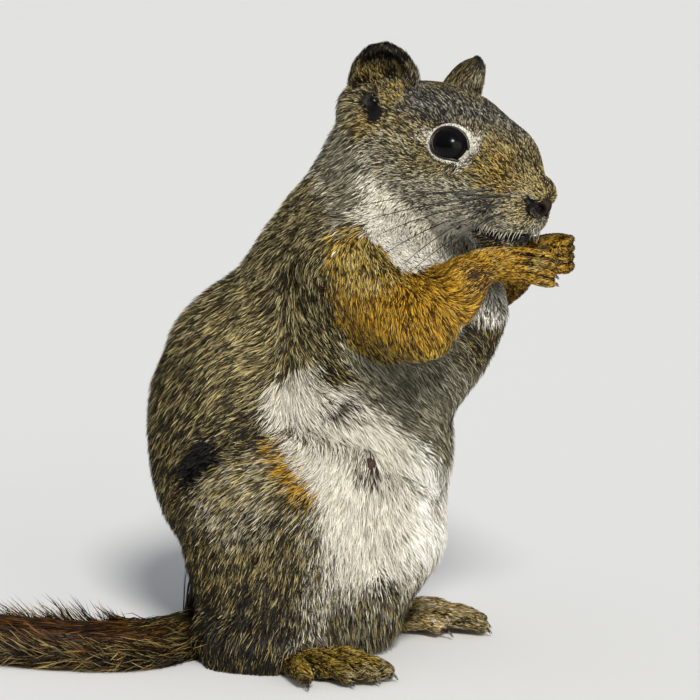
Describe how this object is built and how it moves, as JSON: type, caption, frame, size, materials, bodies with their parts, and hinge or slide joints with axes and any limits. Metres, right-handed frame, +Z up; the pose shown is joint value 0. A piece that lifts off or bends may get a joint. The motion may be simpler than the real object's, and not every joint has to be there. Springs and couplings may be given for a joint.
{
  "type": "red squirrel",
  "caption": "Life-size still model of a red squirrel sitting upright, hands held together at the mouth, bushy tail laid on the floor behind.",
  "frame": {"origin": "on the floor, on the small flat under the rump, below the hip joints and between them", "axes": "+X the way the trunk faces, +Y to the animal's left, +Z up from the floor; the head is turned towards -Y and the tail lies towards -X and -Y"},
  "size_m": [0.2226, 0.1002, 0.1561],
  "materials": {
    "olive_coat": "fur, olive-brown strands with cream bands",
    "russet_coat": "short fur, orange-ochre",
    "tail_coat": "long fur, dark reddish-brown with a yellow fringe",
    "eye": "glossy black",
    "nose_skin": "damp, finely pebbled",
    "claw": "dark horn"
  },
  "bodies": {
    "root": {"head": "olive_coat", "left_ear": "olive_coat", "left_eye": "eye", "left_finger_claw_1": "claw", "left_finger_claw_2": "claw", "left_finger_claw_3": "claw", "left_finger_claw_4": "claw", "left_foot": "russet_coat", "left_forearm": "russet_coat", "left_hand": "russet_coat", "left_haunch": "olive_coat", "left_toe_claw_1": "claw", "left_toe_claw_2": "claw", "left_toe_claw_3": "claw", "left_toe_claw_4": "claw", "left_toe_claw_5": "claw", "left_upper_arm": "russet_coat", "neck": "olive_coat", "nose": "nose_skin", "right_ear": "olive_coat", "right_eye": "eye", "right_finger_claw_1": "claw", "right_finger_claw_2": "claw", "right_finger_claw_3": "claw", "right_finger_claw_4": "claw", "right_foot": "russet_coat", "right_forearm": "russet_coat", "right_hand": "russet_coat", "right_haunch": "olive_coat", "right_toe_claw_1": "claw", "right_toe_claw_2": "claw", "right_toe_claw_3": "claw", "right_toe_claw_4": "claw", "right_toe_claw_5": "claw", "right_upper_arm": "russet_coat", "tail_end": "tail_coat", "tail_middle": "tail_coat", "tail_root": "tail_coat", "trunk": "olive_coat"}
  },
  "joints": []
}
